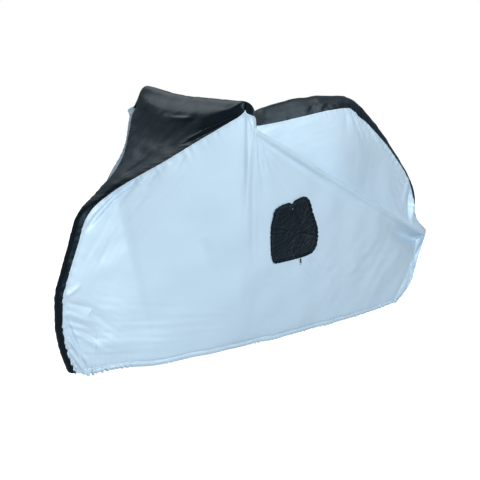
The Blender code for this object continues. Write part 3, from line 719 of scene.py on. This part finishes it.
# The seams' points and the black panels' next points from them, which the allowances keep clear of.
NEXT_SHARE = 0.04
SEAM_AND_NEXT = [-1, -4]       # the same two columns of a side
spine_near = spine_face(station, np.array([0.0, NEXT_SHARE])).swapaxes(0, 1)
spine_far = spine_face(station, np.array([1.0, 1 - NEXT_SHARE])).swapaxes(0, 1)

# Pocket's place on the panel, in the side view, from its lower front corner upwards and round.
POCKET_OUTLINE = (
    # x, z
    (0.818, 0.478),
    (0.801, 0.520),
    (0.779, 0.640),
    (0.780, 0.690),
    (0.806, 0.712),
    (0.850, 0.718),
    (0.864, 0.711),
    (0.876, 0.722),
    (0.925, 0.733),
    (0.952, 0.722),
    (1.000, 0.650),
    (1.045, 0.575),
    (1.057, 0.510),
    (1.040, 0.479),
    (0.990, 0.467),
    (0.900, 0.464),
    (0.838, 0.466),
)
POCKET_MIDDLE = np.array([0.915, 0.590])
POCKET_PUCKERS, POCKET_PUCKER_SPACING, POCKET_PUCKER_REACH = 0.0018, 0.014, 0.014
# Under the pocket the cloth lies flat. Folds start at its stitching with a share of their height, and have
# all of it farther out.
STITCHED_IN, FOLD_SHARE, FOLD_GROWTH = 0.01, 0.4, 0.02


def pocket_outline(count, inset=0.0):
    """Evenly spaced points of the outline in the side view, moved inwards by the inset."""
    rows = np.array(POCKET_OUTLINE + POCKET_OUTLINE[:1])
    reach = np.append(0, np.cumsum(np.linalg.norm(np.diff(rows, axis=0), axis=1)))
    ring = smooth(np.column_stack([reach, rows]), np.linspace(0, reach[-1], count, endpoint=False))
    tangent = unit(np.roll(ring, -1, axis=0) - np.roll(ring, 1, axis=0))
    return ring + inset * np.column_stack([tangent[:, 1], -tangent[:, 0]])


def around_pocket(x, z):
    """For points of the side view: the distance beyond the pocket's outline along the ray from its middle,
    and the run along the outline to where that ray crosses it."""
    ring = pocket_outline(count=360) - POCKET_MIDDLE
    turn = np.arctan2(ring[:, 1], ring[:, 0])
    order = np.argsort(turn)
    run = lengths_along(ring[None], 1)[0]
    here = np.arctan2(z - POCKET_MIDDLE[1], x - POCKET_MIDDLE[0])
    edge = np.interp(here, turn[order], np.hypot(*ring.T)[order], period=2 * np.pi)
    along = np.interp(here, turn[order], run[order], period=2 * np.pi)
    return np.hypot(x - POCKET_MIDDLE[0], z - POCKET_MIDDLE[1]) - edge, along


near_face, near_normal, near_height, near_from_seam, near_from_hem = side_panel(
    far=False, folds=NEAR_FOLDS, seed=100
)
beyond, run = around_pocket(near_face[:, :, 0], near_face[:, :, 2])
outside = beyond + STITCHED_IN
growth = np.exp(-((np.clip(outside, 0, 1) / FOLD_GROWTH) ** 2))
near_height *= 1 - growth * (1 - FOLD_SHARE) - FOLD_SHARE * (outside < 0)
pucker = POCKET_PUCKERS * ripple(run, POCKET_PUCKER_SPACING, seed=31)
near_height += pucker * np.exp(-np.clip(beyond, 0, 1) / POCKET_PUCKER_REACH)
near_face += near_normal * near_height[:, :, None]
near_way = inward(near_face[:, SEAM_AND_NEXT].swapaxes(0, 1), spine_near)
near_points = turned_in(turned_under(near_face, near_normal), near_way)
seam_away = over_turned_in(over_turned_under(near_from_seam))
hem_away = over_turned_in(over_turned_under(near_from_hem))
hem_run = lengths_along(near_points, 0)[:, HEM_LINES : HEM_LINES + 1]
near_side = skin(
    "near_side",
    near_points,
    {"seam": (station[:, None], seam_away), "hem": (hem_run, hem_away)},
    silver_nylon,
    "near_side_panel",
)

# ----------------------------------------
# Far side panel: the same silver coated nylon, cut as the near side's mirror image and sewn and
# hemmed in the same way. It carries no pocket.
# ----------------------------------------
FAR_FOLDS = (
    # start x, z, end x, z, half width at start, at end, height
    (0.530, 1.065, 0.680, 0.450, 0.005, 0.022, 0.0045),
    (0.560, 1.040, 0.720, 0.360, 0.005, 0.018, -0.0030),
    (0.575, 1.030, 0.800, 0.560, 0.006, 0.022, 0.0030),
    (0.580, 1.010, 0.840, 0.820, 0.006, 0.022, -0.0050),
    (0.590, 1.000, 0.780, 0.740, 0.006, 0.022, -0.0035),
    (0.620, 0.960, 1.400, 0.560, 0.012, 0.050, -0.0060),
    (0.600, 1.015, 1.860, 0.416, 0.006, 0.016, 0.0035),
    (0.150, 0.540, 0.430, 0.740, 0.030, 0.050, -0.0060),
    (0.080, 0.400, 0.420, 0.420, 0.030, 0.050, -0.0050),
    (0.025, 0.290, 0.130, 0.180, 0.008, 0.022, 0.0035),
    (1.340, 1.020, 1.370, 0.900, 0.006, 0.020, -0.0040),
    (1.430, 0.960, 1.450, 0.850, 0.008, 0.020, 0.0035),
    (1.839, 0.384, 1.500, 0.523, 0.010, 0.030, -0.0050),
    (1.860, 0.330, 1.730, 0.120, 0.008, 0.014, 0.0040),
)
MIRROR = np.array([1, -1, 1])
far_face, far_normal, far_height, *_ = side_panel(far=True, folds=FAR_FOLDS, seed=200)
far_face += far_normal * far_height[:, :, None]
far_way = inward(far_face[:, SEAM_AND_NEXT].swapaxes(0, 1), spine_far * MIRROR)
far_points = turned_in(turned_under(far_face, far_normal), far_way)
far_side = skin(
    "far_side",
    (far_points * MIRROR)[:, ::-1],
    {"seam": (station[:, None], seam_away[:, ::-1]), "hem": (hem_run, hem_away[:, ::-1])},
    silver_nylon,
    "far_side_panel",
)

# ----------------------------------------
# Hood panel: one piece of black coated nylon, a narrow strip up the nose that widens into a
# three-cornered hood. It is sewn between the two sides, and its lower end is hemmed.
# ----------------------------------------
# Nylon with a thin clear polyurethane coating: nearly black, with a blue-grey bloom where it is seen
# at a low angle.
black_nylon = cloth_finish(
    "black_coated_nylon",
    base="#060C12",
    roughness=0.42,
    metallic=0.0,
    specular=0.25,
    sheen=0.09,
    sheen_tint=(0.45, 0.78, 1.0, 1.0),
    crinkle=0.08,
    stitch="#2A3238",
)
HOOD_FOLDS = (
    # start station, share across, end station, share across, half width, height
    (1.235, 0.02, 1.120, 0.22, 0.010, -0.006),
    (1.215, 0.02, 1.060, 0.20, 0.010, 0.005),
    (1.190, 0.02, 1.020, 0.16, 0.010, -0.006),
    (1.180, 0.25, 1.170, 0.75, 0.016, 0.006),
    (0.760, 0.30, 1.000, 0.36, 0.020, -0.004),
    (0.700, 0.60, 1.100, 0.80, 0.020, 0.003),
)
BLACK_PUCKERS, BLACK_PUCKER_SPACING, BLACK_PUCKER_REACH, BLACK_PUCKER_SLANT = 0.0012, 0.024, 0.03, 0.4
BLACK_CRUMPLE, BLACK_CRUMPLE_SPACING = 0.0010, 0.07
BLACK_SEAM_FLAT = 0.004


def black_panel(rows, columns, folds, seed):
    """A black panel's face with its folds raised along its normals, and each point's distance from the
    nearer seam. A fold is a bell curve across its line between two places, each given by a station and by a
    share of the way from the near seam to the far one."""
    face = spine_face(rows, columns)
    normal = unit(np.cross(np.gradient(face, axis=0), np.gradient(face, axis=1)))
    across = lengths_along(face, 1)
    width = across[:, -1:]
    height = 0 * across
    for start, start_share, end, end_share, half_width, peak in folds:
        run = np.array([end - start, (end_share - start_share) * width.mean()])
        here = np.stack([rows[:, None] + 0 * across - start, across - start_share * width], axis=2)
        length = np.hypot(*run)
        along = np.clip(here @ run / length**2, 0, 1)
        aside = (here[:, :, 0] * run[1] - here[:, :, 1] * run[0]) / length
        height += peak * bell(along, 0.5, 0.5) * np.exp(-((aside / half_width) ** 2))
    from_seam = np.minimum(across, width - across)
    wave = ripple(rows[:, None] + BLACK_PUCKER_SLANT * across, BLACK_PUCKER_SPACING, seed)
    height += BLACK_PUCKERS * wave * np.exp(-from_seam / BLACK_PUCKER_REACH)
    along_seam = rows[:, None] + 0 * across
    wave = crumple(along_seam, across, BLACK_CRUMPLE_SPACING, crest=40, spread=50, seed=seed + 1)
    height += BLACK_CRUMPLE * wave
    height *= 1 - np.exp(-from_seam / BLACK_SEAM_FLAT)
    return face + normal * height[:, :, None], from_seam


def sewn_both_sides(face, rows):
    """A panel with both its long edges turned in, halfway between its own and the sides' ways."""
    far_edge_in = turned_in(face, (far_way * MIRROR)[rows])
    return turned_in(far_edge_in[:, ::-1], near_way[rows])[:, ::-1]


def over_both_sides(values):
    """Distances in the cloth carried on over both turned-in edges."""
    return over_turned_in(over_turned_in(values)[:, ::-1])[:, ::-1]


HOOD_COLUMNS = 97
in_hood = station <= RIDGE_STATION
hood_rows = station[in_hood]
hood_face, hood_from_seam = black_panel(hood_rows, np.linspace(0, 1, HOOD_COLUMNS), HOOD_FOLDS, seed=300)
# The black panels have no casing, so every place on them is far from the hem's stitches.
NO_HEM = (0, 1)
hood = skin(
    "hood",
    sewn_both_sides(hood_face, in_hood),
    {"seam": (hood_rows[:, None], over_both_sides(hood_from_seam)), "hem": NO_HEM},
    black_nylon,
    "hood_panel",
)

# ----------------------------------------
# Spine panel: one piece of black coated nylon, from the hood's ridge down its back, along the top
# and down the tail, sewn between the two sides and hemmed at its lower end.
# ----------------------------------------
SPINE_FOLDS = (
    # start station, share across, end station, share across, half width, height
    (1.300, 0.10, 1.520, 0.40, 0.016, -0.005),
    (1.300, 0.90, 1.520, 0.60, 0.016, -0.005),
    (1.900, 0.04, 1.980, 0.30, 0.010, -0.003),
    (1.960, 0.04, 2.030, 0.26, 0.010, 0.003),
    (2.140, 0.05, 2.145, 0.95, 0.010, 0.003),
)
SPINE_COLUMNS = 73
in_spine = station >= RIDGE_STATION
spine_rows = station[in_spine]
spine_points, spine_from_seam = black_panel(
    spine_rows, np.linspace(0, 1, SPINE_COLUMNS), SPINE_FOLDS, seed=400
)
spine = skin(
    "spine",
    sewn_both_sides(spine_points, in_spine),
    {"seam": (spine_rows[:, None], over_both_sides(spine_from_seam)), "hem": NO_HEM},
    black_nylon,
    "spine_panel",
)

# ----------------------------------------
# Pocket: a patch of black nylon sewn on the near side round its whole edge, with one pleat that
# runs down from a notch in its upper edge.
# ----------------------------------------
PIPING_RADIUS = 0.0034
PLEAT_TOP, PLEAT_END = np.array([0.866, 0.716]), np.array([0.940, 0.604])
PLEAT_STEP, PLEAT_EDGE, PLEAT_REACH = 0.004, 0.002, 0.022
PLEAT_FULL, PLEAT_FADE = 0.55, 0.5     # share of the pleat at its full height, and over which it fades
POCKET_LIFT, POCKET_SWELL, SWELL_REACH = 0.003, 0.007, 0.05
LEAST_LIFT, RIM_LIFT = 0.001, 0.0002
BORDER = 0.014                         # width of the flat border outside the stitching
STITCH_SINK, STITCH_SINK_HALF = 0.0012, 0.0025
CREASES, CREASE_SPACING = 0.0008, 0.06
RADIAL_CREASES, RADIAL_WAVES = 0.0006, ((7, 0), (12, 4), (19, 1))
EDGE_PUCKERS, EDGE_PUCKER_SPACING, EDGE_PUCKER_REACH = 0.0009, 0.02, 0.02
# Length round the pocket, and the run on which its puckers are set out.
POCKET_ROUND, PUCKERED_RUN = 0.96, 1.02
REGION_MIDDLE, REGION_HALF = np.array([0.92, 0.58]), np.array([0.20, 0.22])


def on_near_side(flat, lift):
    """Points of the side view carried onto the near side's cloth and lifted off it. The cloth's height is
    the mean of the tangent planes at the four nearest points of its mesh, each weighed by its squared
    nearness."""
    region = (np.abs(near_face[:, :, ::2] - REGION_MIDDLE) < REGION_HALF).all(axis=2)
    there, way = near_face[region], near_normal[region]
    out = np.empty((len(flat), 3))
    facing = np.empty((len(flat), 3))
    for part in np.array_split(np.arange(len(flat)), 1 + len(flat) // 1000):
        step = flat[part][:, None] - there[None, :, ::2]
        away = (step**2).sum(axis=2)
        close = np.argpartition(away, 4, axis=1)[:, :4]
        weight = 1 / (np.take_along_axis(away, close, axis=1) + 1e-9)
        weight /= weight.sum(axis=1, keepdims=True)
        slope = -way[close][:, :, ::2] / way[close][:, :, 1:2]
        step = np.take_along_axis(step, close[:, :, None], axis=1)
        height = there[close][:, :, 1] + (slope * step).sum(axis=2)
        out[part] = np.column_stack([flat[part, 0], (height * weight).sum(axis=1), flat[part, 1]])
        facing[part] = unit((way[close] * weight[:, :, None]).sum(axis=1))
    return out + facing * np.reshape(lift, (-1, 1)), facing


POCKET_POINTS = 200
RING_SHARES = np.concatenate([[0.004], np.linspace(0.05, 1, 44)])
edge = pocket_outline(POCKET_POINTS, inset=1.6 * PIPING_RADIUS)
flat = POCKET_MIDDLE + (edge - POCKET_MIDDLE) * RING_SHARES[:, None, None]
inside = np.linalg.norm(edge - POCKET_MIDDLE, axis=1) * (1 - RING_SHARES[:, None])
swollen = 1 - np.exp(-((np.clip(inside - BORDER, 0, 1) / SWELL_REACH) ** 1.2))
lift = POCKET_LIFT + POCKET_SWELL * swollen
lift -= STITCH_SINK * np.exp(-(((inside - BORDER) / STITCH_SINK_HALF) ** 2))

# The pleat is a step across its line, which fades sideways and towards its lower end.
pleat = PLEAT_END - PLEAT_TOP
length = np.hypot(*pleat)
along = (flat - PLEAT_TOP) @ pleat / length**2
aside = ((flat - PLEAT_TOP) @ np.array([-pleat[1], pleat[0]])) / length
fade = 1 - np.clip((along - PLEAT_FULL) / PLEAT_FADE, 0, 1) ** 2
lift += PLEAT_STEP * fade * (np.tanh(aside / PLEAT_EDGE) * np.exp(-np.abs(aside) / PLEAT_REACH))

# Creases all over, others that run out from the middle, and puckers along the edge.
lift += CREASES * crumple(*flat.transpose(2, 0, 1), CREASE_SPACING, crest=70, spread=40, seed=501)
turn = np.arctan2(*(edge - POCKET_MIDDLE).T)
radial = sum(np.sin(waves * turn + start) for waves, start in RADIAL_WAVES) / len(RADIAL_WAVES)
lift += RADIAL_CREASES * radial * bell(RING_SHARES, 1.5, 1)[:, None]
wave = ripple(np.linspace(0, PUCKERED_RUN, POCKET_POINTS)[None], EDGE_PUCKER_SPACING, seed=502)
lift += EDGE_PUCKERS * wave * np.exp(-inside / EDGE_PUCKER_REACH)

pocket_points, _ = on_near_side(flat.reshape(-1, 2), np.maximum(lift, LEAST_LIFT).ravel())
rim, _ = on_near_side(edge, np.full(POCKET_POINTS, RIM_LIFT))
pocket_points = np.concatenate([pocket_points.reshape(*flat.shape[:2], 3), rim[None]])
pocket_points = np.concatenate([pocket_points, pocket_points[:, :1]], axis=1)
inside = np.concatenate([inside, 0 * inside[:1]])
inside = np.concatenate([inside, inside[:, :1]], axis=1)
pocket_run = np.linspace(0, POCKET_ROUND, POCKET_POINTS + 1)[None]
pocket = skin(
    "pocket_patch",
    pocket_points[::-1],
    {"seam": (pocket_run, inside[::-1] - BORDER + SEAM_STITCH), "hem": NO_HEM},
    black_nylon,
    "pocket",
)

# ----------------------------------------
# Piping: a cord wrapped in a strip of the same black nylon. It is sewn in all round the pocket's
# edge, where it stands up as a thin rounded rim.
# ----------------------------------------
PIPING_POINTS, PIPING_SIDES = 240, 12


def tube(centre, across, up, radius, sides):
    """A round tube along a closed line: at each of its points a circle of the radius in the plane of the
    two directions."""
    turn = np.linspace(0, 2 * np.pi, sides + 1)[:, None, None]
    ring = centre + radius * (np.cos(turn) * across + np.sin(turn) * up)
    return np.concatenate([ring, ring[:, :1]], axis=1)


piping_line, facing = on_near_side(
    pocket_outline(PIPING_POINTS, PIPING_RADIUS), np.full(PIPING_POINTS, 0.9 * PIPING_RADIUS)
)
tangent = unit(np.roll(piping_line, -1, axis=0) - np.roll(piping_line, 1, axis=0))
across = unit(np.cross(tangent, facing))
piping = skin(
    "piping",
    tube(piping_line, across, np.cross(across, tangent), PIPING_RADIUS, PIPING_SIDES),
    {},
    black_nylon,
    "pocket_piping",
)

# ----------------------------------------
# Zip puller: a flat moulded tab below the pocket's lower edge, with a bright wire loop through its
# lower end.
# ----------------------------------------
TAB_TOP, TAB_END = np.array([0.977, 0.461]), np.array([0.982, 0.440])
TAB_HALF, TAB_SQUARENESS, TAB_LIFT = (0.0035, 0.0013), 0.4, 0.0026
TAB_ENDS = (
    # travel along the tab, size
    (0.00, 0.00),
    (0.00, 0.70),
    (0.03, 0.92),
    (0.10, 1.00),
    (0.90, 1.00),
    (0.97, 0.92),
    (1.00, 0.70),
    (1.00, 0.00),
)
LOOP_RADIUS, LOOP_WIRE = 0.0045, 0.0009


def moulded(name, base, roughness, metallic):
    """A smooth finish of one colour."""
    material = bpy.data.materials.new(name)
    material.use_nodes = True
    shader = material.node_tree.nodes["Principled BSDF"]
    shader.inputs["Base Color"].default_value = linear(base)
    shader.inputs["Roughness"].default_value = roughness
    shader.inputs["Metallic"].default_value = metallic
    return material


# Acetal, moulded with a fine matt grain.
acetal = moulded("moulded_acetal", "#1C2024", roughness=0.45, metallic=0.0)
# Nickel-plated steel wire.
nickel = moulded("nickel_plated_wire", "#C9CCCE", roughness=0.25, metallic=1.0)

ends, facing = on_near_side(np.array([TAB_TOP, TAB_END]), np.array([TAB_LIFT, TAB_LIFT]))
down = unit(ends[1] - ends[0])
outward = unit(facing[1] - down * (facing[1] @ down))
side = np.cross(down, outward)
turn = np.linspace(0, 2 * np.pi, 33)[:, None]
tab_ring = 0
for wave, half, way in ((np.cos(turn), TAB_HALF[0], side), (np.sin(turn), TAB_HALF[1], outward)):
    tab_ring = tab_ring + np.sign(wave) * np.abs(wave) ** TAB_SQUARENESS * half * way
travel, size = np.array(TAB_ENDS).T[:, :, None]
tab_points = (ends[0] + travel * (ends[1] - ends[0]))[:, None] + tab_ring * size[:, :, None]
puller = skin("puller_tab", tab_points, {}, acetal, "zip_puller")

# The loop passes through the tab's end, so its centre lies a little below it.
LOOP_DROP = 0.6 * LOOP_RADIUS
spin = turn[:-1]
loop_centre = ends[1] + down * LOOP_DROP
loop_out = np.cos(spin) * side + np.sin(spin) * down
loop_line = loop_centre + LOOP_RADIUS * loop_out
loop = skin(
    "puller_loop",
    tube(loop_line, loop_out, outward + 0 * loop_out, LOOP_WIRE, sides=10),
    {},
    nickel,
    "zip_puller",
)

# ----------------------------------------
# Studio: a plain pale floor, a broad soft key light before the near side, weaker ones at the nose,
# above the tail and behind the far side, and the camera at the photograph's viewing angle.
# ----------------------------------------
FLOOR_SIZE = 14.0
PAPER_GLOW = 1.00
floor_mesh = bpy.data.meshes.new("floor")
corners = np.array([[-1, -1, 0], [1, -1, 0], [1, 1, 0], [-1, 1, 0]]) * FLOOR_SIZE / 2
floor_mesh.from_pydata((corners - (0, 0, HANG_POINT[2])).tolist(), [], [(0, 1, 2, 3)])
# Uncoated card: dead matt, and so brightly lit that it is plain white to the eye. Its own light is for the
# camera only, and what it throws back on the cloth is that of a grey card.
paper = moulded("matt_paper", "#B9BCBE", roughness=0.9, metallic=0.0)
tree = paper.node_tree
sight = add_node(tree, "LightPath")
glow = add_node(
    tree, "Math", {"operation": "MULTIPLY", 1: PAPER_GLOW}, in0=sight.outputs["Is Camera Ray"]
)
shader = tree.nodes["Principled BSDF"]
shader.inputs["Emission Color"].default_value = linear("#FFFFFF")
tree.links.new(glow.outputs[0], shader.inputs["Emission Strength"])
floor_mesh.materials.append(paper)
floor = bpy.data.objects.new("floor", floor_mesh)
bpy.context.scene.collection.objects.link(floor)

LIGHT_AIM, LIGHT_REACH, LIGHT_WIDTH = np.array([-0.25, 0.0, -0.45]), 4.5, 2.2
LIGHTS = (
    # name, azimuth and elevation in degrees, power in watts
    ("key", 255, 20, 172.0),
    ("nose", 180, 5, 10.0),
    ("far_corner", 135, 25, 8.0),
    ("far_top", 90, 50, 36.0),
    ("rear_top", 0, 70, 84.0),
)
for name, azimuth, elevation, power in LIGHTS:
    lamp = bpy.data.lights.new(name, "AREA")
    lamp.size, lamp.energy = LIGHT_WIDTH, power
    light = bpy.data.objects.new(name, lamp)
    across, up = np.radians((azimuth, elevation))
    way = np.array([np.cos(across) * np.cos(up), np.sin(across) * np.cos(up), np.sin(up)])
    light.location = LIGHT_AIM + LIGHT_REACH * way
    light.rotation_euler = (np.arccos(way[2]), 0, np.arctan2(way[0], -way[1]))
    bpy.context.scene.collection.objects.link(light)

# The room is white to the eye, and lights the cloth only weakly.
ROOM_LIGHT = 0.10
world = bpy.data.worlds.new("white_room")
world.use_nodes = True
tree = world.node_tree
room = tree.nodes["Background"]
room.inputs["Color"].default_value = linear("#FFFFFF")
path = add_node(tree, "LightPath")
strength = add_node(
    tree, "Math", {"operation": "MAXIMUM", 1: ROOM_LIGHT}, in0=path.outputs["Is Camera Ray"]
)
tree.links.new(strength.outputs[0], room.inputs["Strength"])
bpy.context.scene.world = world
bpy.context.scene.view_settings.view_transform = "Standard"

lens = bpy.data.cameras.new("camera")
lens.lens, lens.sensor_width = 54.0, 36.0
camera = bpy.data.objects.new("camera", lens)
camera.location = (-2.1651, -2.2531, 0.1646)
camera.rotation_euler = np.radians((75.684, 0.0, -37.44))
bpy.context.scene.collection.objects.link(camera)
bpy.context.scene.camera = camera
